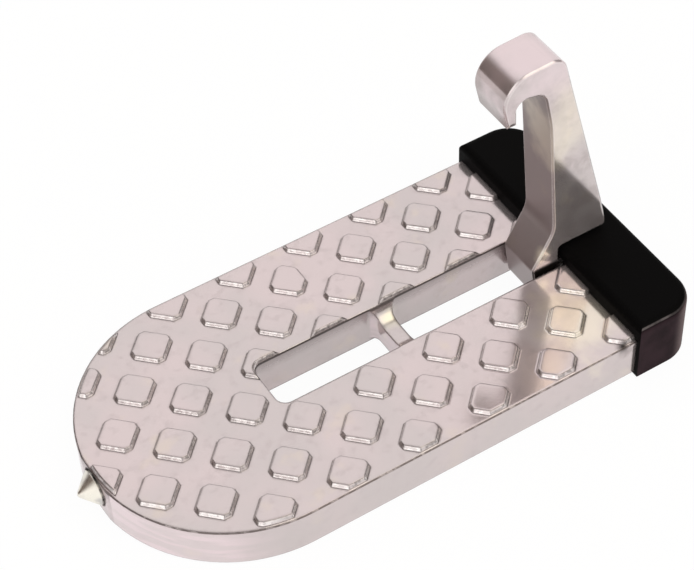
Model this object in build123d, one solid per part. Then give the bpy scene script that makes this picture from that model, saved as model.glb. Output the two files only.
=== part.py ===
"""Fold-out door latch step: a die-cast tread plate with a hook that hangs on a door striker.

Working frame of the functions below: x runs along the plate from the centre of its round end
to the rubber bumper, y runs across it from its centreline, z runs up from its underside.
Every piece is moved to the part's frame when it is written: the origin is then the middle of
the bottom of the whole object. Millimetres throughout.
"""
from build123d import *
import math
import os

# Tread plate
plate_width = 80.0
plate_length = 97.3  # from the centre of the round end to the bumper's edge
plate_depth = 13.6  # from the underside to the tops of the tread pads
deck_thickness = 3.2
rim_wall = 3.4
rim_bottom_chamfer = 0.6
rim_top_chamfer = 0.3

# Raised square pads, in a lattice turned by 45 degrees
pad_side = 8.5
pad_pitch = 14.76
pad_height = 1.2
pad_draft = 0.5  # how far each side leans out, from its top to the deck
pad_corner = 1.5  # cut off each corner
pad_lattice_x = 2.5  # one pad's centre, which sets the whole lattice
pad_lattice_y = -3.7
pad_rim_margin = 1.3
pad_slot_margin = 0.6
pad_least_share = 0.06  # smaller rests of a pad are left out where it is cut back
clipped_pad_steps = 3  # pads from the lattice's first one to the one with a clipped corner
clipped_pad_corner = 4.0  # cut off its corner towards the bumper

# Slot that the hook folds into
slot_width = 15.2
slot_start = 10.2
slot_corner = 3.0
slot_wall = 3.4
slot_end_gap = 0.3

# Web across the slot, which the folded arm lies on
web_from_slot = 39.7  # from the slot's round end
web_thickness = 4.4
web_height = 6.7
web_lift = 1.0
web_root_flare = 2.6
web_root_flat = 0.1
web_saddle_radius = 5.6

# Ribs in the hollow underside
rib_thickness = 2.4
rib_pitch = 16.6
rib_corner = 1.6
pocket_least_area = 12.0

# Tongue under the bumper
tongue_length = 14.2
tongue_top_step = 2.4
tongue_side_step = 3.0
tongue_bottom_step = 3.0

# Hinge
pivot_past_edge = 2.8
pivot_above_middle = 0.1
pin_diameter = 5.0
pin_end_inset = 0.6
pin_running_gap = 0.05
washer_diameter = 10.5
washer_bore_gap = 0.1
washer_face_gap = 0.1

# Hook arm, cast. Each corner of its side view is x and z from the pivot, and a radius.
arm_side_gap = 1.05  # to each wall of the slot
boss_radius = 6.2
boss_flat = 0.25  # left straight at the boss's back
heel_reach = 12.0
heel_gap = 0.8  # over the bumper's top
heel_radius = 1.2
neck_gap = 0.6  # between the neck and the bumper's edge
neck_radius = 0.8
neck_root_radius = 1.5
heel_bend = (9.8, 22.0, 12.0)
crown_back = (-5.1, 79.5, 4.8)
crown_front = (-22.4, 78.6, 8.0)
tip_bulge = (-22.6, 70.0, 8.0)
tip_outside = (-21.0, 62.7, 1.0)
tip_inside = (-18.7, 62.7, 0.8)
throat_front = (-18.9, 71.6, 2.8)
throat_back = (-10.5, 69.8, 4.6)
shank_top = (-8.1, 57.6, 40.0)
shank_bottom = (-5.4, 18.7, 9.0)
foot_top = (-11.9, 7.0, 1.4)
foot_radius = 4.0
foot_reach = 10.1
arm_edge = 0.5  # chamfer round both cheeks
tip_corner_radius = 2.6

# Rubber bumper
bumper_length = 19.75
bumper_side_proud = 1.3
bumper_top_proud = 4.4
bumper_bottom_proud = 0.45
bumper_corner = 9.6
bumper_edge_radius = 2.2
bumper_relief_gap = 1.2  # round the hook's boss
bumper_notch_width = 18.0

# Screws that hold the bumper, from below
screw_spacing = 48.0
screw_past_edge = 9.1
screw_diameter = 3.0
screw_length = 9.0
screw_head_diameter = 6.0
screw_head_height = 1.6
screw_recess_gap = 0.3
screw_socket = 2.0
screw_socket_depth = 0.8

# Hard steel tip at the round end
tip_reach = 5.0
tip_diameter = 9.7
tip_collar = 0.6
tip_nose_radius = 0.7
tip_nose_rise = 0.3
tip_shank_diameter = 6.0
tip_shank_length = 10.0
tip_seat_depth = 0.5  # depth of the flat that its collar seats on
tip_boss_diameter = 11.0

# Sizes that follow from those above
plate_radius = plate_width / 2
deck_z = plate_depth - pad_height
pad_lean = math.degrees(math.atan(pad_draft / pad_height))
pivot_x = plate_length + pivot_past_edge
pivot_z = plate_depth / 2 + pivot_above_middle
web_x = slot_start + web_from_slot
screw_x = plate_length + screw_past_edge
tongue_width = plate_width - 2 * tongue_side_step
tongue_top = deck_z - tongue_top_step
slot_end = pivot_x + max(boss_radius, washer_diameter / 2 + slot_corner) + slot_end_gap
bumper_end = plate_length + bumper_length
bumper_width = plate_width + 2 * bumper_side_proud
bumper_top = plate_depth + bumper_top_proud
bumper_bottom = -bumper_bottom_proud
boss_top = pivot_z + boss_radius
pin_radius = pin_diameter / 2
arm_thickness = slot_width - 2 * arm_side_gap
tip_seat_x = -plate_radius + tip_seat_depth
overall_left = tip_seat_x - tip_reach
origin_x = (overall_left + bumper_end) / 2
placing = Pos(-origin_x, 0, -bumper_bottom)
DOWN = (Align.CENTER, Align.CENTER, Align.MIN)  # a cylinder that stands on its place
ALONG = (Align.MIN, Align.CENTER, Align.MIN)  # a block that stands on its place and runs along x


def plate_outline(inset, length):
    """Plan of the deck: a rectangle with one semicircular end, drawn in by an inset."""
    half = plate_radius - inset
    return Pos(length / 2, 0) * Rectangle(length, 2 * half) + Circle(half)


def slot_outline(grow=0.0):
    """Plan of the slot, with rounded corners, grown by an amount all round."""
    length = slot_end - slot_start + 2 * grow
    return Pos((slot_start + slot_end) / 2, 0) * RectangleRounded(
        length, slot_width + 2 * grow, slot_corner + grow
    )


def tread_pads():
    """Raised pads: a lattice of squares with leaning sides, cut back from the rim and the slot."""
    square = Rectangle(pad_side + 2 * pad_draft, pad_side + 2 * pad_draft)
    pad = extrude(chamfer(square.vertices(), pad_corner), pad_height, taper=pad_lean)
    towards_bumper = (pad_side, -pad_side)
    plan = chamfer(square.vertices().sort_by_distance(towards_bumper)[0], clipped_pad_corner)
    others = plan.vertices().sort_by_distance(towards_bumper)[2:]
    clipped = extrude(chamfer(others, pad_corner), pad_height, taper=pad_lean)
    first = Pos(pad_lattice_x, pad_lattice_y) * Rot(0, 0, 45)
    count = 2 * math.ceil(plate_length / pad_pitch) + 1
    lattice = first * GridLocations(pad_pitch, pad_pitch, count, count)
    allowed = extrude(
        plate_outline(pad_rim_margin - pad_draft, plate_length + pad_side), pad_height, taper=pad_lean
    )
    allowed -= extrude(slot_outline(pad_slot_margin - pad_draft), pad_height, taper=-pad_lean)
    pads = (Part() + [place * pad for place in lattice]) & allowed
    pads -= first * Pos(clipped_pad_steps * pad_pitch, 0) * (pad - clipped)
    least = pad_least_share * pad.volume
    return [Pos(0, 0, deck_z) * rest for rest in pads.solids() if rest.volume > least]


def pocket_band(low, high, start, end):
    """Plans of a row of cores, between two distances from the centreline and two stations."""
    width = rib_pitch - rib_thickness
    cell = RectangleRounded(width, high - low, rib_corner)
    first = slot_start - slot_wall - rib_pitch / 2
    steps = range(math.floor((start - first) / rib_pitch), math.ceil((end - first) / rib_pitch) + 1)
    return [Pos(first + step * rib_pitch, (low + high) / 2) * cell for step in steps]


def underside_pockets():
    """Cores of the hollow underside, between the rim, the slot's wall, the ribs and the tip's boss."""
    rim_inside = plate_radius - rim_wall
    slot_outside = slot_width / 2 + slot_wall
    nose_end = slot_start - slot_wall
    cells = []
    for low, high, end in (
        (slot_outside, rim_inside, plate_length),
        (rib_thickness / 2, slot_outside - rib_thickness, nose_end),
    ):
        cells += pocket_band(low, high, -plate_radius, end)
        cells += pocket_band(-high, -low, -plate_radius, end)
    allowed = plate_outline(rim_wall, plate_length - rim_wall) - slot_outline(slot_wall)
    boss_length = tip_shank_length + tip_seat_depth
    allowed -= Pos(tip_seat_x + boss_length / 2, 0) * Rectangle(boss_length, tip_boss_diameter)
    plan = (Sketch() + cells) & allowed
    cores = [core for core in plan.faces() if core.area > pocket_least_area]
    return [extrude(core, deck_z - deck_thickness) for core in cores]


def slot_web():
    """Cross web of the slot: a saddle that flares into both walls."""
    reach = slot_width / 2 + slot_wall / 2
    height = deck_z - web_lift
    side = Pos(0, web_lift + height / 2) * Rectangle(2 * reach, height)
    side -= Pos(0, web_lift + web_height + height / 2) * RectangleRounded(
        slot_width, height, web_saddle_radius
    )
    saddle = extrude(Plane.YZ * side, web_thickness / 2 + web_root_flare, both=True)
    plan = Rectangle(web_thickness + 2 * web_root_flare, 2 * reach)
    hollow = RectangleRounded(2 * web_root_flare, slot_width, web_root_flare - web_root_flat)
    for along in (-1, 1):
        plan -= Pos(along * (web_thickness / 2 + web_root_flare), 0) * hollow
    return Pos(web_x, 0, 0) * (saddle & extrude(plan, deck_z))


def hinge_bore(radius, length):
    """Cylinder along the hinge line, centred on the slot."""
    return Pos(pivot_x, 0, pivot_z) * Rot(90, 0, 0) * Cylinder(radius, length)


def screw_places():
    """Places of the bumper's two screws."""
    return [Pos(screw_x, across * screw_spacing / 2) for across in (-1, 1)]


def bumper_tongue():
    """Tongue that the bumper is pulled over: lower and narrower than the plate."""
    height = tongue_top - tongue_bottom_step
    lift = Pos(plate_length + tongue_length / 2, 0, tongue_bottom_step + height / 2)
    return lift * Box(tongue_length, tongue_width, height)


def beyond_plate():
    """Block past the plate's square end, which cuts the last pads flush with it."""
    return Pos(plate_length, 0, 0) * Box(plate_length, 2 * plate_width, 2 * plate_depth, align=ALONG)


def step_plate():
    """Tread plate casting: deck, pads, rim, ribs, slot with its web, and the bumper's tongue."""
    body = extrude(plate_outline(0, plate_length), deck_z)
    for level, size in ((0, rim_bottom_chamfer), (-1, rim_top_chamfer)):
        rim = body.edges().group_by(Axis.Z)[level]
        body = chamfer([edge for edge in rim if edge.center().X < plate_length - size], size)
    body -= underside_pockets()
    body += tread_pads()
    body -= beyond_plate()
    body += bumper_tongue()
    body -= extrude(slot_outline(), deck_z)
    body += slot_web()
    body -= hinge_bore(pin_radius, plate_width)
    hole_depth = screw_length + bumper_bottom
    for place in screw_places():
        body -= place * Pos(0, 0, hole_depth / 2) * Cylinder(screw_diameter / 2, hole_depth)
    body -= Pos(-plate_radius, 0, 0) * Box(2 * tip_seat_depth, plate_width, 2 * plate_depth)
    shank = Pos(tip_seat_x, 0, pivot_z) * Rot(0, 90, 0)
    body -= shank * Cylinder(tip_shank_diameter / 2, tip_shank_length, align=DOWN)
    return body


def hook_profile():
    """Side view of the hook arm, seen along the hinge line, with the pivot at its origin."""
    heel_height = bumper_top + heel_gap - pivot_z
    neck = plate_length - neck_gap - pivot_x
    boss_round = boss_radius - boss_flat / 2
    corners = [
        tip_outside,
        tip_bulge,
        crown_front,
        crown_back,
        heel_bend,
        (heel_reach, heel_height, heel_radius),
        (neck, heel_height, neck_radius),
        (neck, boss_radius, neck_root_radius),
        (boss_radius, boss_radius, boss_round),
        (boss_radius, -boss_radius, boss_round),
        (-foot_reach, -boss_radius, foot_radius),
        foot_top,
        shank_bottom,
        shank_top,
        throat_back,
        throat_front,
        tip_inside,
    ]
    points = [(x, z) for x, z, radius in corners]
    radii = [radius for x, z, radius in corners]
    return make_face(FilletPolyline(*points, radius=radii, close=True))


def tip_corner(side):
    """What is rounded off one lower corner of the hook's tip."""
    radius = tip_corner_radius
    square = Pos(radius / 2, -radius / 2) * Rectangle(radius, radius)
    bottom = tip_outside[1]
    plan = Pos(arm_thickness / 2 - radius, bottom + radius) * (square - Circle(radius))
    if side < 0:
        plan = mirror(plan, Plane.YZ)
    reach = tip_inside[0] - tip_bulge[0]
    return Pos((tip_inside[0] + tip_bulge[0]) / 2, 0, 0) * extrude(Plane.YZ * plan, reach, both=True)


def hook_arm():
    """Cast hook arm: heel, shank, throat and thin tip, with the bored boss that it turns on."""
    body = extrude(Plane.XZ * hook_profile(), arm_thickness / 2, both=True)
    cheeks = body.faces().filter_by(Axis.Y)
    body = chamfer(cheeks.edges(), arm_edge)
    for side in (-1, 1):
        body -= tip_corner(side)
    return Pos(pivot_x, 0, pivot_z) * body - hinge_bore(pin_radius + pin_running_gap, plate_width)


def pivot_pin():
    """Plain steel pin, pressed into the tongue from side to side."""
    return hinge_bore(pin_radius, tongue_width - 2 * pin_end_inset)


def pivot_washer(side):
    """Thin washer on one side of the hook's boss, against the slot's wall."""
    thickness = arm_side_gap - washer_face_gap
    ring = Circle(washer_diameter / 2) - Circle(pin_radius + washer_bore_gap)
    y = side * (slot_width / 2 - thickness / 2)
    return Pos(pivot_x, y, pivot_z) * Rot(90, 0, 0) * extrude(ring, thickness / 2, both=True)


def rubber_bumper():
    """Moulded rubber bumper, a cap over the plate's tongue."""
    plan = Pos(plate_length + bumper_length / 2, 0) * Rectangle(bumper_length, bumper_width)
    outer_corners = plan.vertices().group_by(Axis.X)[-1]
    plan = fillet(outer_corners, bumper_corner)
    height = bumper_top - bumper_bottom
    body = Pos(0, 0, bumper_bottom) * extrude(plan, height)
    body = fillet(body.faces().sort_by(Axis.Z)[-1].edges(), bumper_edge_radius)
    body -= bumper_tongue()
    relief_length = slot_end - plate_length
    relief_top = boss_top + bumper_relief_gap
    body -= Pos(plate_length, 0, 0) * Box(relief_length, slot_width, relief_top, align=ALONG)
    notch_height = tongue_bottom_step - bumper_bottom
    notch = Box(relief_length, bumper_notch_width, notch_height, align=ALONG)
    body -= Pos(plate_length, 0, bumper_bottom) * notch
    for place in screw_places():
        recess = Cylinder(screw_head_diameter / 2 + screw_recess_gap, screw_head_height, align=DOWN)
        body -= place * Pos(0, 0, bumper_bottom) * recess
        body -= place * Pos(0, 0, bumper_bottom) * Cylinder(screw_diameter / 2, screw_length, align=DOWN)
    return body


def bumper_screw(place):
    """Pan-head screw up through the bumper into the tongue."""
    head = Cylinder(screw_head_diameter / 2, screw_head_height, align=DOWN)
    stem = Cylinder(screw_diameter / 2, screw_length, align=DOWN)
    socket = extrude(RegularPolygon(screw_socket / 2, 6), screw_socket_depth)
    return place * Pos(0, 0, bumper_bottom) * (head + stem - socket)


def hammer_tip():
    """Hard steel cone at the round end, turned with a shank that is pressed into the casting."""
    cone_radius = tip_diameter / 2
    shank_radius = tip_shank_diameter / 2
    with BuildLine() as half:
        Line((-tip_shank_length, 0), (-tip_shank_length, shank_radius))
        Line((-tip_shank_length, shank_radius), (0, shank_radius))
        Line((0, shank_radius), (0, cone_radius))
        Line((0, cone_radius), (tip_collar, cone_radius))
        Line((tip_collar, cone_radius), (tip_reach - tip_nose_rise, tip_nose_radius))
        Line((tip_reach - tip_nose_rise, tip_nose_radius), (tip_reach, 0))
        Line((tip_reach, 0), (-tip_shank_length, 0))
    turned = revolve(make_face(half.line), Axis.X)
    return Pos(tip_seat_x, 0, pivot_z) * Rot(0, 0, 180) * turned


if __name__ == "__main__":
    os.makedirs("parts", exist_ok=True)
    pieces = {
        "step_plate": step_plate(),
        "hook_arm": hook_arm(),
        "pivot_pin": pivot_pin(),
        "pivot_washer_near": pivot_washer(-1),
        "pivot_washer_far": pivot_washer(1),
        "rubber_bumper": rubber_bumper(),
        "bumper_screw_near": bumper_screw(screw_places()[0]),
        "bumper_screw_far": bumper_screw(screw_places()[1]),
        "hammer_tip": hammer_tip(),
    }
    for name, piece in pieces.items():
        print(name, len(piece.solids()), round(piece.volume, 1), len(piece.faces()))
        export_step(placing * piece, f"parts/{name}.step")
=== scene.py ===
"""Fold-out door latch step: finish, floor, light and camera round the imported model."""

import math
from functools import cached_property

import bpy
from mathutils import Euler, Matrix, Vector


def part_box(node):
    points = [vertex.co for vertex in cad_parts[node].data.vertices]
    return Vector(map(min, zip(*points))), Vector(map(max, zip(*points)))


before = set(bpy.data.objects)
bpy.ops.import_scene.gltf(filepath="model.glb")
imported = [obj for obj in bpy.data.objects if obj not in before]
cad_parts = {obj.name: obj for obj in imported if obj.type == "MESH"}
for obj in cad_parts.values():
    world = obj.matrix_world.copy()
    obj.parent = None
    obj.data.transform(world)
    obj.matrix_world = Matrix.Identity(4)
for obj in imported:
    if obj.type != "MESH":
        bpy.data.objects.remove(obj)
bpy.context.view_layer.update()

MM = 0.001

# Camera: where the photograph was taken from, in metres, degrees and millimetres of lens
CAMERA_PLACE = (-0.18108, -0.30974, 0.43084)
CAMERA_TURN = (42.184, 1.808, -32.172)
CAMERA_LENS = 110.75
CAMERA_SENSOR = 36.0
CAMERA_NEAR = 0.01

# Places on the part, in the frame's metres
DECK = 12.85 * MM  # height of the deck between its pads
SLOT_HALF = 7.6 * MM
ARM_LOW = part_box("hook_arm")[0]
TIP_LOW, TIP_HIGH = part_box("hammer_tip")
TIP_MIDDLE = (TIP_LOW.z + TIP_HIGH.z) / 2
TIP_RADIUS = (TIP_HIGH.z - TIP_LOW.z) / 2
THROAT_START = ARM_LOW.x + 3.6 * MM  # the hook's faces past this look into its throat

# Colours, linear
WHITE = (1, 1, 1, 1)
CAST_PINK = (0.745, 0.65, 0.65, 1)
CAST_GREY = (0.68, 0.62, 0.615, 1)
# Random mottling, and painted shade on the near wall
CAST_MOTTLE_AND_SHADE = (0.60, 0.53, 0.53, 1)
CAST_WARM = (0.80, 0.70, 0.60, 1)
CAST_CREAM = (1.0, 0.92, 0.76, 1)
CAST_SHADE = (0.38, 0.33, 0.325, 1)
CAST_BLUSH = (0.85, 0.72, 0.745, 1)
# Pale of wear, with painted highlight: on the pads' sides, on the hook's edges and beside the cream
# patch
CAST_WEAR_AND_HIGHLIGHT = (0.98, 0.93, 0.92, 1)
# Dark of painted shade: in the slot, on the hook's inner faces and on the rim by the bumper
CAST_DEEP_SHADE = (0.24, 0.195, 0.195, 1)
# Dark lines of painted shade: along the plate's edges and rim, at the pads' corners, under the hook's
# crown and on its back edges
CAST_SHADE_LINE = (0.16, 0.13, 0.125, 1)
WEB_CREAM = (0.80, 0.75, 0.60, 1)
# Black of painted shade: in hollows, under the slot's lip, round the point, on the rim by the bumper
# and beside the arm's foot
SHADE_BLACK = (0.03, 0.025, 0.022, 1)
STEEL = (0.62, 0.60, 0.58, 1)
STEEL_WARM = (0.98, 0.94, 0.84, 1)
RUBBER = (0.0032, 0.003, 0.003, 1)
# Painted light on the rubber: its paler sides, its outer corner and its top rim
RUBBER_LIT_SIDE = (0.036, 0.021, 0.026, 1)
RUBBER_LIT_CORNER = (0.15, 0.11, 0.112, 1)
RUBBER_EDGE_HIGHLIGHT = (0.16, 0.14, 0.14, 1)
FLOOR_WHITE = (0.9, 0.9, 0.9, 1)

# Finish of all castings
CAST_METALLIC = 0.74  # the rest is the haze of a tumbled casting
GRAIN_DEPTH = 0.05 * MM
RIPPLE_DEPTH = 0.12 * MM
RIPPLE_STRENGTH = 0.35
# How far the painted shade in hollows reaches
HOLLOW_SHADE_REACH = 0.6 * MM
# Strength of the painted shade, and of the added roughness, on the hook's inner faces
INNER_SHADE_AND_DULLNESS = 0.78

# Finish of the steel and of the rubber
STEEL_SMOOTHER = 0.04  # how far its roughness falls below the given one, and rises above it
STEEL_ROUGHER = 0.06
STEEL_BUMP = 0.12
STEEL_DEPTH = 0.03 * MM
# Roughness added where the steel has painted shade
SHADED_AREA_ROUGHNESS = 0.5
RUBBER_BUMP = 0.07
RUBBER_DEPTH = 0.06 * MM
RUBBER_SPECULAR = 0.025

# Marks on the castings: centre, radius, colour and strength, in the order they are laid on
PLATE_MARKS = [
    ((0.0425, -0.0235, 0.0128), 0.0100, CAST_WEAR_AND_HIGHLIGHT, 0.5),  # painted highlight: pale band beside the cream patch
    ((0.0535, -0.0255, 0.0128), 0.0160, CAST_CREAM, 0.68),  # painted reflection of warm light: cream patch by the bumper
    ((0.0142, 0.0052, 0.0085), 0.0055, WEB_CREAM, 0.85),  # painted cream highlight on the slot's web
    ((0.0570, -0.0395, 0.0131), 0.0032, SHADE_BLACK, 1.0),  # painted shade: dark spot at a pad's corner on the rim by the bumper
    ((0.0575, -0.0413, 0.0112), 0.0035, CAST_DEEP_SHADE, 0.7),  # painted shade below that spot
]
ARM_MARKS = [
    ((0.0515, 0.0000, 0.0865), 0.0200, CAST_BLUSH, 0.8),  # blush on the hook's crown
    ((0.0605, -0.0066, 0.0640), 0.0170, CAST_CREAM, 0.4),  # cream on the near cheek
    ((0.0553, -0.0066, 0.0185), 0.0042, CAST_CREAM, 0.7),  # painted highlight at the foot
]
MARK_CORE = 0.25  # share of a mark's radius with its full strength
MARK_WOBBLE = 0.35  # share of the radius by which its outline wanders

# Floor
FLOOR_HALF = 3.0
FLOOR_DROP = 0.05 * MM
FLOOR_GLOW = 1.02
FLOOR_PLAIN = 0.93  # share of the floor's white, to the camera, that shadows don't reach
MIRROR_BRIGHT = 0.8  # share of that white which the metal mirrors near the part
MIRROR_DARK = 0.08  # and far off, slantwise past the far side and the point
MIRROR_FADE_START = 0.20
MIRROR_FADE_END = 0.34

# Studio: its colour, and its sides by direction, inner and outer angle in degrees, and light
STUDIO_COLOUR = (0.93, 0.905, 0.90, 1)
STUDIO_SIDES = [
    ((0.32, 0.55, 0.77), 10, 34, (1.0, 0.965, 0.96, 1)),  # above the far side
    ((-0.12, -0.16, 0.98), 16, 34, (0.33, 0.31, 0.305, 1)),  # overhead, dark
    ((0.32, -0.55, 0.77), 14, 32, (1.68, 1.60, 1.43, 1)),  # above the near side, bright
    ((-0.78, 0.55, 0.28), 14, 40, (0.085, 0.05, 0.035, 1)),  # past the point, low and dark
    ((0.95, -0.05, 0.45), 18, 36, (0.15, 0.135, 0.13, 1)),  # past the bumper, dark
    ((-0.03, 0.95, 0.25), 8, 22, (0.55, 0.53, 0.52, 1)),  # far side, low and dim
    ((-0.74, -0.50, 0.44), 14, 32, (1.42, 1.39, 1.37, 1)),  # past the point, near side, bright
]

# The colour sockets of a Mix node
MIX_FIRST = 6
MIX_SECOND = 7
MIX_RESULT = 2


class Graph:
    """The node tree of a material or of the world, emptied, with the nodes that are used here."""

    def __init__(self, holder):
        holder.use_nodes = True
        self.tree = holder.node_tree
        self.tree.nodes.clear()

    def feed(self, socket, value):
        """Links an output to a socket, or sets the socket to a number, colour or direction."""
        if isinstance(value, bpy.types.NodeSocket):
            self.tree.links.new(value, socket)
        else:
            socket.default_value = value

    def add(self, kind, **values):
        """A new node, with its inputs and its settings given by name."""
        node = self.tree.nodes.new(kind)
        for key, value in values.items():
            if key in node.inputs:
                self.feed(node.inputs[key], value)
            else:
                setattr(node, key, value)
        return node

    def ramp(self, value, start, full, least=0.0, most=1.0):
        """The least up to the start, the most from where the ramp is full, smooth between them."""
        node = self.add("ShaderNodeMapRange", interpolation_type="SMOOTHSTEP", Value=value)
        limits = {"From Min": start, "From Max": full, "To Min": least, "To Max": most}
        for key, number in limits.items():
            node.inputs[key].default_value = number
        return node.outputs["Result"]

    def blend(self, factor, first, second):
        """Colour between two colours."""
        node = self.add("ShaderNodeMix", data_type="RGBA", Factor=factor)
        self.feed(node.inputs[MIX_FIRST], first)
        self.feed(node.inputs[MIX_SECOND], second)
        return node.outputs[MIX_RESULT]

    def blend_shaders(self, factor, first, second):
        """Shader between two shaders."""
        node = self.add("ShaderNodeMixShader", Fac=factor)
        self.feed(node.inputs[1], first)
        self.feed(node.inputs[2], second)
        return node.outputs["Shader"]

    def math(self, operation, *values):
        """Result of an operation on one or two values."""
        node = self.add("ShaderNodeMath", operation=operation)
        for socket, value in zip(node.inputs, values):
            self.feed(socket, value)
        return node.outputs["Value"]

    def vector_math(self, operation, *values):
        """Outputs of an operation on one or two directions or places."""
        node = self.add("ShaderNodeVectorMath", operation=operation)
        for socket, value in zip(node.inputs, values):
            self.feed(socket, value)
        return node.outputs

    def product(self, *values):
        """Values multiplied together."""
        result = values[0]
        for value in values[1:]:
            result = self.math("MULTIPLY", result, value)
        return result

    def axes(self, vector):
        """Outputs X, Y and Z of a vector."""
        return self.add("ShaderNodeSeparateXYZ", Vector=vector).outputs


class Surface(Graph):
    """A material's graph, with places on the piece and the way that its surface faces."""

    def __init__(self, name):
        self.material = bpy.data.materials.new(name)
        super().__init__(self.material)
        self.source = self.add("ShaderNodeTexCoord").outputs

    @cached_property
    def place(self):
        """Outputs X, Y and Z of the place on the piece."""
        return self.axes(self.source["Object"])

    @cached_property
    def normal(self):
        """Outputs X, Y and Z of the direction that the surface faces."""
        return self.axes(self.source["Normal"])

    def noise(self, cells, detail, roughness=0.55, stretch=None):
        """Noise value between 0 and 1, at a number of cells per metre."""
        coords = self.source["Object"]
        if stretch:
            coords = self.add("ShaderNodeMapping", Scale=stretch, Vector=coords).outputs["Vector"]
        node = self.add(
            "ShaderNodeTexNoise", Vector=coords, Scale=cells, Detail=detail, Roughness=roughness
        )
        return node.outputs["Fac"]

    def edges(self, radius):
        """1 on edges and 0 on flats: how far a bevelled normal leaves the true one."""
        bevelled = self.add("ShaderNodeBevel", samples=6, Radius=radius).outputs["Normal"]
        true = self.add("ShaderNodeNewGeometry").outputs["Normal"]
        likeness = self.vector_math("DOT_PRODUCT", bevelled, true)["Value"]
        return self.ramp(likeness, start=0.995, full=0.93)

    def hollows(self, reach):
        """1 in the inner corners between two faces, and 0 on open faces."""
        node = self.add("ShaderNodeAmbientOcclusion", samples=8, Distance=reach, only_local=True)
        return self.ramp(node.outputs["AO"], start=0.86, full=0.55)

    def near(self, centre, radius, wobble):
        """1 near a point and 0 a radius away from it, with an uneven outline."""
        offset = self.vector_math("SUBTRACT", self.source["Object"], centre)["Vector"]
        distance = self.vector_math("LENGTH", offset)["Value"]
        reach = MARK_WOBBLE * radius
        uneven = self.ramp(wobble, start=0.2, full=0.8, least=reach, most=-reach)
        away = self.math("ADD", distance, uneven)
        return self.ramp(away, start=radius, full=MARK_CORE * radius)

    def bump(self, height, strength, depth, normal=None):
        """Normal bent by a height value, starting from a given normal or the surface's own."""
        node = self.add("ShaderNodeBump", Height=height, Strength=strength, Distance=depth)
        if normal is not None:
            self.feed(node.inputs["Normal"], normal)
        return node.outputs["Normal"]

    def finish(self, colour, roughness, normal, **values):
        """Ends the graph in a shader with those values, and returns the material."""
        shader = self.add("ShaderNodeBsdfPrincipled", Roughness=roughness, Normal=normal)
        self.feed(shader.inputs["Base Color"], colour)
        for key, value in values.items():
            shader.inputs[key].default_value = value
        self.add("ShaderNodeOutputMaterial", Surface=shader.outputs["BSDF"])
        return self.material


# Areas of the plate: each function gives how far a place on the surface belongs to its area


def slot_walls(surface):
    """The slot's walls: painted shade, darker towards their top edge."""
    across = surface.math("ABSOLUTE", surface.place["Y"])
    inside = surface.ramp(across, start=SLOT_HALF + 0.6 * MM, full=SLOT_HALF + 0.2 * MM)
    upright = surface.ramp(surface.normal["Z"], start=0.5, full=0.1)
    height = surface.ramp(surface.place["Z"], start=DECK - 5.0 * MM, full=DECK, least=0.22, most=0.62)
    return surface.product(inside, upright, height)


def slot_lip(surface):
    """The top edge of the slot's walls: painted shade, darkest there."""
    lip = surface.ramp(surface.place["Z"], start=DECK - 0.9 * MM, full=DECK - 0.5 * MM, most=1.3)
    return surface.product(slot_walls(surface), lip)


def pad_sides(surface):
    """The leaning sides of the tread pads, paler: rubbed bright, with a painted highlight."""
    raised = surface.ramp(surface.place["Z"], start=DECK + 0.1 * MM, full=DECK + 0.3 * MM)
    leaning = surface.ramp(surface.normal["Z"], start=0.75, full=0.6)
    patchiness = surface.noise(cells=900.0, detail=2.0)
    rubbed = surface.ramp(patchiness, start=0.4, full=0.6, least=0.25)
    return surface.product(raised, leaning, rubbed)


def pad_corners(surface):
    """The small corners between those sides, which face along or across the plate: painted shade,
    darker.
    """
    turned = surface.math("MULTIPLY", surface.normal["X"], surface.normal["Y"])
    turned = surface.math("ABSOLUTE", turned)
    straight = surface.ramp(turned, start=0.25, full=0.1, most=0.75)
    return surface.product(pad_sides(surface), straight)


def round_wall(surface):
    """Pale streaks along the round end of the plate's wall, where it faces the point: painted
    highlight.
    """
    streaks = surface.noise(cells=55.0, detail=2.0, stretch=(1.0, 1.0, 7.0))
    streak = surface.ramp(streaks, start=0.4, full=0.6, least=0.45)
    upright = surface.ramp(surface.normal["Z"], start=0.4, full=0.2)
    towards_tip = surface.ramp(surface.normal["X"], start=-0.15, full=-0.5)
    return surface.product(streak, upright, towards_tip)


def near_wall(surface):
    """The long wall on the near side, a little darker: painted shade."""
    outer = surface.ramp(surface.place["Y"], start=-26 * MM, full=-28 * MM, most=0.45)
    facing = surface.ramp(surface.normal["Y"], start=-0.8, full=-0.95)
    return surface.product(outer, facing)


def plate_rim(surface):
    """The rounded top edge all round the plate: a broken dark line of painted shade."""
    breaks = surface.noise(cells=500.0, detail=2.0)
    broken = surface.ramp(breaks, start=0.35, full=0.55, least=0.5, most=0.95)
    past_wall = surface.ramp(surface.normal["Z"], start=0.15, full=0.3)
    before_top = surface.ramp(surface.normal["Z"], start=0.97, full=0.85)
    turning = surface.product(past_wall, before_top)
    below = surface.ramp(surface.place["Z"], start=DECK + 0.1 * MM, full=DECK + 0.02 * MM)
    above = surface.ramp(surface.place["Z"], start=DECK - 1.2 * MM, full=DECK - 0.9 * MM)
    return surface.product(broken, turning, below, above)


def tip_ring(surface):
    """A thin ring of painted shadow on the plate's end, round the collar of the point."""
    up = surface.math("SUBTRACT", surface.place["Z"], TIP_MIDDLE)
    across = surface.place["Y"]
    square = surface.math("ADD", surface.product(up, up), surface.product(across, across))
    away = surface.math("SQRT", square)
    near = surface.ramp(away, start=TIP_RADIUS + 0.8 * MM, full=TIP_RADIUS + 0.2 * MM, most=0.9)
    end = surface.ramp(surface.normal["X"], start=-0.7, full=-0.9)
    outer = surface.ramp(surface.place["X"], start=TIP_LOW.x + 12 * MM, full=TIP_LOW.x + 10 * MM)
    return surface.product(near, end, outer)


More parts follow.
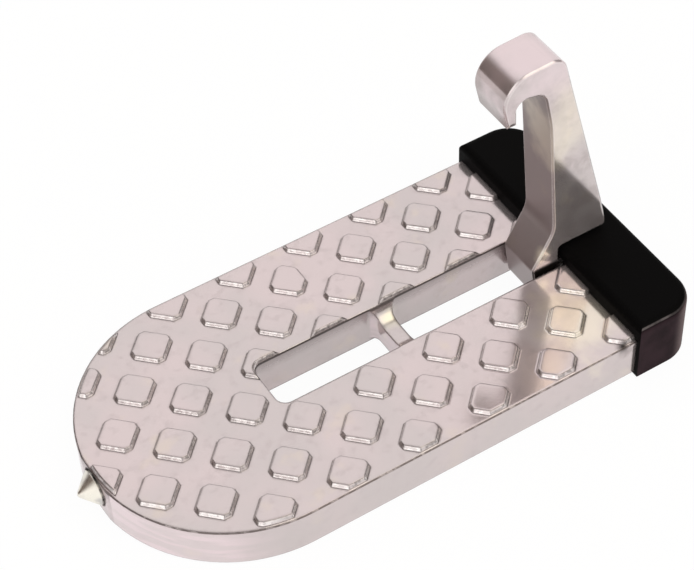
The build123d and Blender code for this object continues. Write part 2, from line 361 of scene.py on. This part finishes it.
# Areas of the arm


def throat_and_strip(surface):
    """The faces that look back along the plate: painted shade, and rougher than the rest."""
    facing = surface.ramp(surface.normal["X"], start=-0.35, full=-0.75, most=INNER_SHADE_AND_DULLNESS)
    past = surface.ramp(surface.place["X"], start=THROAT_START - MM, full=THROAT_START + MM)
    return surface.product(facing, past)


def strip_top(surface):
    """The upper part of those faces, under the hook's crown: more painted shade, darker still."""
    high = surface.ramp(surface.place["Z"], start=45 * MM, full=66 * MM, most=0.6)
    return surface.product(throat_and_strip(surface), high)


def nose(surface):
    """The front of the hook: painted shade, darker and a little rougher towards its tip."""
    lower = surface.ramp(surface.place["Z"], start=85 * MM, full=72 * MM, least=0.5)
    above = surface.ramp(surface.place["Z"], start=58 * MM, full=62 * MM)
    front = surface.ramp(surface.place["X"], start=48 * MM, full=46 * MM)
    facing = surface.ramp(surface.normal["X"], start=-0.6, full=-0.85)
    return surface.product(lower, above, front, facing)


def arm_back(surface):
    """The edges that turn away along the plate, past the bumper: painted shade."""
    return surface.ramp(surface.normal["X"], start=0.35, full=0.6, most=0.7)


def cheek_clouds(surface):
    """Blotches on the near cheek: mottling, and painted shade that darkens this face."""
    clouds = surface.noise(cells=130.0, detail=4.0, roughness=0.6)
    cloud = surface.ramp(clouds, start=0.42, full=0.62, least=0.12, most=0.45)
    facing = surface.ramp(surface.normal["Y"], start=-0.6, full=-0.9)
    return surface.product(cloud, facing)


def foot_gap(surface):
    """The near cheek just above the deck, dark from the gap beside it."""
    low = surface.ramp(surface.place["Z"], start=DECK + 2.4 * MM, full=DECK + 0.6 * MM)
    facing = surface.ramp(surface.normal["Y"], start=-0.4, full=-0.8)
    return surface.product(low, facing)


# Area of the point


def collar(surface):
    """The thin rim of painted shadow at the base of the point."""
    breaks = surface.noise(cells=420.0, detail=2.0)
    broken = surface.ramp(breaks, start=0.35, full=0.6, least=0.35)
    base = surface.ramp(surface.place["X"], start=TIP_LOW.x + 4.4 * MM, full=TIP_LOW.x + 4.7 * MM)
    return surface.product(broken, base)


# Finishes


def cast_metal(name, look):
    """Satin cast alloy: cloudy pinkish grey, fine grain, marked edges, and marks at places."""
    surface = Surface(name)
    broad = surface.noise(cells=38.0, detail=2.0)
    patch = surface.noise(cells=95.0, detail=3.0)
    mottle = surface.noise(cells=330.0, detail=2.0)
    ripple = surface.noise(cells=620.0, detail=2.0)
    grain = surface.noise(cells=2200.0, detail=4.0, roughness=0.65)
    pinkness = surface.ramp(broad, start=0.38, full=0.66)
    mottling = surface.ramp(mottle, start=0.5, full=0.75, most=0.45)
    warmth = surface.ramp(patch, start=0.58, full=0.74, most=look["cloud"])
    colour = surface.blend(pinkness, CAST_GREY, CAST_PINK)
    colour = surface.blend(mottling, colour, CAST_MOTTLE_AND_SHADE)
    colour = surface.blend(warmth, colour, CAST_WARM)
    smoothest = look["roughness"] - look["grit"]
    roughest = look["roughness"] + look["grit"]
    rough = surface.ramp(grain, start=0.25, full=0.75, least=smoothest, most=roughest)
    for area, mark, dulling in look["areas"]:
        spot = area(surface)
        colour = surface.blend(spot, colour, mark)
        if dulling:
            rough = surface.math("ADD", rough, surface.product(spot, dulling))
    for centre, radius, mark, strength in look["marks"]:
        spot = surface.product(surface.near(centre, radius, patch), strength)
        colour = surface.blend(spot, colour, mark)
    # Lines along the edges: a dark line of painted shade on the plate, a pale line of wear and
    # painted highlight on the arm
    edges = surface.edges(look["edge_radius"])
    broken = surface.ramp(ripple, start=0.3, full=0.6, least=0.55)
    line = surface.product(edges, broken, look["edge_strength"])
    colour = surface.blend(line, colour, look["edge_colour"])
    # Painted shade in the inner corners between faces
    if look["hollow_shade"]:
        hollow_shade = surface.product(surface.hollows(HOLLOW_SHADE_REACH), look["hollow_shade"])
        colour = surface.blend(hollow_shade, colour, SHADE_BLACK)
    rounded = surface.add("ShaderNodeBevel", samples=8, Radius=look["rounding"]).outputs["Normal"]
    wave = surface.product(ripple, edges)
    waved = surface.bump(wave, RIPPLE_STRENGTH, RIPPLE_DEPTH, rounded)
    grained = surface.bump(grain, look["bump"], GRAIN_DEPTH, waved)
    return surface.finish(colour, rough, grained, Metallic=CAST_METALLIC)


def turned_steel(name, colour, roughness, area=None):
    """Machined steel with faint streaks, and painted shade in one area if that is given."""
    surface = Surface(name)
    fine = surface.noise(cells=2600.0, detail=3.0)
    broad = surface.noise(cells=260.0, detail=2.0)
    tint = surface.blend(surface.ramp(broad, start=0.35, full=0.7), colour, STEEL)
    smoothest = roughness - STEEL_SMOOTHER
    roughest = roughness + STEEL_ROUGHER
    rough = surface.ramp(fine, start=0.2, full=0.8, least=smoothest, most=roughest)
    # Painted shade over the given area
    if area:
        spot = area(surface)
        tint = surface.blend(spot, tint, SHADE_BLACK)
        rough = surface.math("ADD", rough, surface.product(spot, SHADED_AREA_ROUGHNESS))
    streaked = surface.bump(fine, STEEL_BUMP, STEEL_DEPTH)
    return surface.finish(tint, rough, streaked, Metallic=1.0)


def moulded_rubber(name):
    """Black rubber: dull, with a fine moulded grain, and painted light that makes its sides, outer
    corner and top rim paler.
    """
    surface = Surface(name)
    along, up = surface.normal["X"], surface.normal["Z"]
    fine = surface.noise(cells=3200.0, detail=4.0, roughness=0.6)
    broad = surface.noise(cells=120.0, detail=3.0)
    side = surface.ramp(up, start=0.75, full=0.2)
    outward = surface.ramp(along, start=-0.6, full=-0.2)
    side_light_patches = surface.ramp(broad, start=0.25, full=0.7, least=0.45)
    # Painted light on the sides
    colour = surface.blend(surface.product(side, outward, side_light_patches), RUBBER, RUBBER_LIT_SIDE)
    turning = surface.ramp(along, start=0.1, full=0.6)
    before_end = surface.ramp(along, start=0.98, full=0.8, least=0.25)
    corner = surface.product(turning, before_end)
    # Painted highlight on the corner that turns away
    colour = surface.blend(surface.product(side, corner), colour, RUBBER_LIT_CORNER)
    above = surface.ramp(up, start=0.5, full=0.6)
    below = surface.ramp(up, start=0.78, full=0.7)
    patchiness = surface.ramp(broad, start=0.4, full=0.6, least=0.2, most=0.8)
    rim = surface.product(above, below, outward, patchiness)
    # Painted highlight along the top rim
    colour = surface.blend(rim, colour, RUBBER_EDGE_HIGHLIGHT)
    rough = surface.ramp(fine, start=0.2, full=0.8, least=0.42, most=0.6)
    grained = surface.bump(fine, RUBBER_BUMP, RUBBER_DEPTH)
    return surface.finish(colour, rough, grained, **{"Specular IOR Level": RUBBER_SPECULAR})


def dress(node, material):
    """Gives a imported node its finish."""
    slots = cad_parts[node].data.materials
    slots.clear()
    slots.append(material)


# Studio, floor and camera


def studio_world():
    """White background, and a pale studio with bright and dark sides for the metal to mirror."""
    world = bpy.data.worlds.new("studio")
    bpy.context.scene.world = world
    graph = Graph(world)
    direction = graph.add("ShaderNodeTexCoord").outputs["Generated"]
    colour = STUDIO_COLOUR
    for towards, inner, outer, side in STUDIO_SIDES:
        centre = Vector(towards).normalized()
        facing = graph.vector_math("DOT_PRODUCT", direction, centre)["Value"]
        share = graph.ramp(
            facing, start=math.cos(math.radians(outer)), full=math.cos(math.radians(inner))
        )
        colour = graph.blend(share, colour, side)
    light = graph.add("ShaderNodeBackground", Color=colour, Strength=1.0)
    backdrop = graph.add("ShaderNodeBackground", Color=WHITE, Strength=1.0)
    to_camera = graph.add("ShaderNodeLightPath").outputs["Is Camera Ray"]
    seen = graph.blend_shaders(
        to_camera, light.outputs["Background"], backdrop.outputs["Background"]
    )
    graph.add("ShaderNodeOutputWorld", Surface=seen)


def floor():
    """White floor under the part, white to the camera but for a faint shadow."""
    surface = Surface("floor_white")
    diffuse = surface.add("ShaderNodeBsdfDiffuse", Color=FLOOR_WHITE)
    glow = surface.add("ShaderNodeEmission", Color=WHITE, Strength=FLOOR_GLOW)
    path = surface.add("ShaderNodeLightPath")
    plain = surface.product(path.outputs["Is Camera Ray"], FLOOR_PLAIN)
    aslant = surface.math("SUBTRACT", surface.place["Y"], surface.place["X"])
    shade = surface.ramp(
        aslant, start=MIRROR_FADE_START, full=MIRROR_FADE_END, least=MIRROR_BRIGHT, most=MIRROR_DARK
    )
    mirrored = surface.product(path.outputs["Is Glossy Ray"], shade)
    share = surface.math("MAXIMUM", plain, mirrored)
    seen = surface.blend_shaders(share, diffuse.outputs["BSDF"], glow.outputs["Emission"])
    surface.add("ShaderNodeOutputMaterial", Surface=seen)
    corners = [
        (-FLOOR_HALF, -FLOOR_HALF, 0), (FLOOR_HALF, -FLOOR_HALF, 0),
        (FLOOR_HALF, FLOOR_HALF, 0), (-FLOOR_HALF, FLOOR_HALF, 0),
    ]
    mesh = bpy.data.meshes.new("floor")
    mesh.from_pydata(corners, [], [(0, 1, 2, 3)])
    mesh.materials.append(surface.material)
    plane = bpy.data.objects.new("floor", mesh)
    plane.location.z = -FLOOR_DROP
    bpy.context.scene.collection.objects.link(plane)


def camera():
    """Camera at the photograph's place, angle and lens."""
    data = bpy.data.cameras.new("camera")
    data.sensor_fit = "HORIZONTAL"
    data.sensor_width = CAMERA_SENSOR
    data.lens = CAMERA_LENS
    data.clip_start = CAMERA_NEAR
    holder = bpy.data.objects.new("camera", data)
    holder.location = CAMERA_PLACE
    holder.rotation_euler = Euler([math.radians(turn) for turn in CAMERA_TURN], "XYZ")
    bpy.context.scene.collection.objects.link(holder)
    bpy.context.scene.camera = holder


# The two castings' looks: areas give a colour and what they add to the roughness
PLATE_LOOK = {
    "cloud": 0.45,
    "roughness": 0.145,
    "grit": 0.025,
    "bump": 0.02,
    "rounding": 1.2 * MM,
    "edge_radius": 0.32 * MM,
    "edge_strength": 0.92,
    "edge_colour": CAST_SHADE_LINE,
    "hollow_shade": 0.6,
    "areas": [
        (round_wall, CAST_BLUSH, 0.0),
        (near_wall, CAST_MOTTLE_AND_SHADE, 0.0),
        (plate_rim, CAST_SHADE_LINE, 0.2),
        (slot_walls, CAST_DEEP_SHADE, 0.3),
        (slot_lip, SHADE_BLACK, 0.0),
        (pad_sides, CAST_WEAR_AND_HIGHLIGHT, 0.0),
        (pad_corners, CAST_SHADE_LINE, 0.0),
        (tip_ring, SHADE_BLACK, 0.6),
    ],
    "marks": PLATE_MARKS,
}
ARM_LOOK = {
    "cloud": 0.6,
    "roughness": 0.12,
    "grit": 0.0,
    "bump": 0.003,
    "rounding": 0.6 * MM,
    "edge_radius": 0.5 * MM,
    "edge_strength": 0.7,
    "edge_colour": CAST_WEAR_AND_HIGHLIGHT,
    "hollow_shade": 0.0,
    "areas": [
        (cheek_clouds, CAST_SHADE, 0.0),
        (nose, CAST_SHADE, 0.05),
        (throat_and_strip, CAST_DEEP_SHADE, 0.3),
        (strip_top, CAST_SHADE_LINE, 0.0),
        (foot_gap, SHADE_BLACK, 0.0),
        (arm_back, CAST_SHADE_LINE, 0.0),
    ],
    "marks": ARM_MARKS,
}

dress("step_plate", cast_metal("cast_alloy", PLATE_LOOK))
dress("hook_arm", cast_metal("cast_alloy_arm", ARM_LOOK))
dress("pivot_pin", turned_steel("pin_steel", STEEL, roughness=0.25))
washer = turned_steel("washer_steel", STEEL, roughness=0.28)
dress("pivot_washer_near", washer)
dress("pivot_washer_far", washer)
dress("rubber_bumper", moulded_rubber("black_rubber"))
screw = turned_steel("screw_steel", STEEL, roughness=0.3)
dress("bumper_screw_near", screw)
dress("bumper_screw_far", screw)
dress("hammer_tip", turned_steel("tip_steel", STEEL_WARM, roughness=0.3, area=collar))

camera()
studio_world()
floor()
bpy.context.scene.view_settings.view_transform = "Standard"
